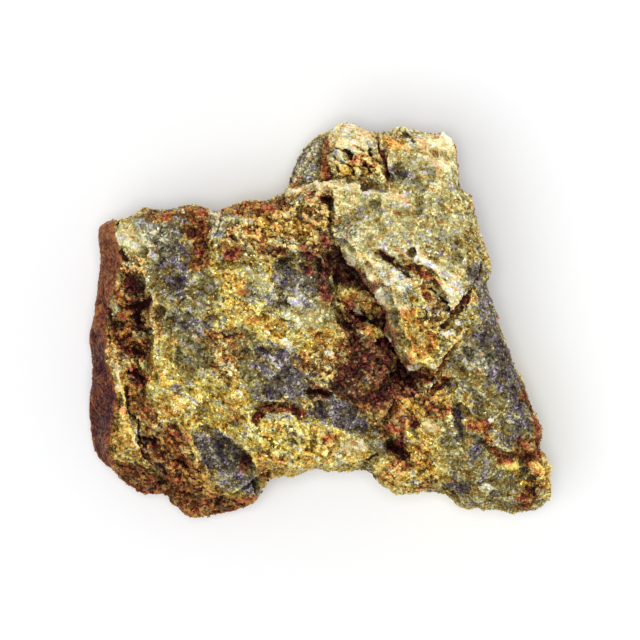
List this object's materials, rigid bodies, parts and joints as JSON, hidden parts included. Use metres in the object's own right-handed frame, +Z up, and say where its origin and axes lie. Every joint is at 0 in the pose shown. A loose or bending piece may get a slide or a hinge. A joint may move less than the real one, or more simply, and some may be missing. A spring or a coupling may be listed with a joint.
{
  "type": "chalcopyrite specimen",
  "caption": "Rough hand-sized chunk of brassy, brown and grey tarnished chalcopyrite ore that lies on a flat spot on its back.",
  "frame": {"origin": "on the resting plane, under the middle of the chunk's bounding box", "axes": "+Z up, from the back that it rests on towards its best face; +Y towards the squared tower at one end; +X towards the long slanting edge"},
  "size_m": [0.08, 0.0684, 0.0302],
  "materials": {
    "ore": "rough broken sulphide ore, dull brass to gold in the grains, with rust brown, olive grey and indigo tarnish"
  },
  "bodies": {
    "root": {"ore_chunk": "ore"}
  },
  "joints": []
}
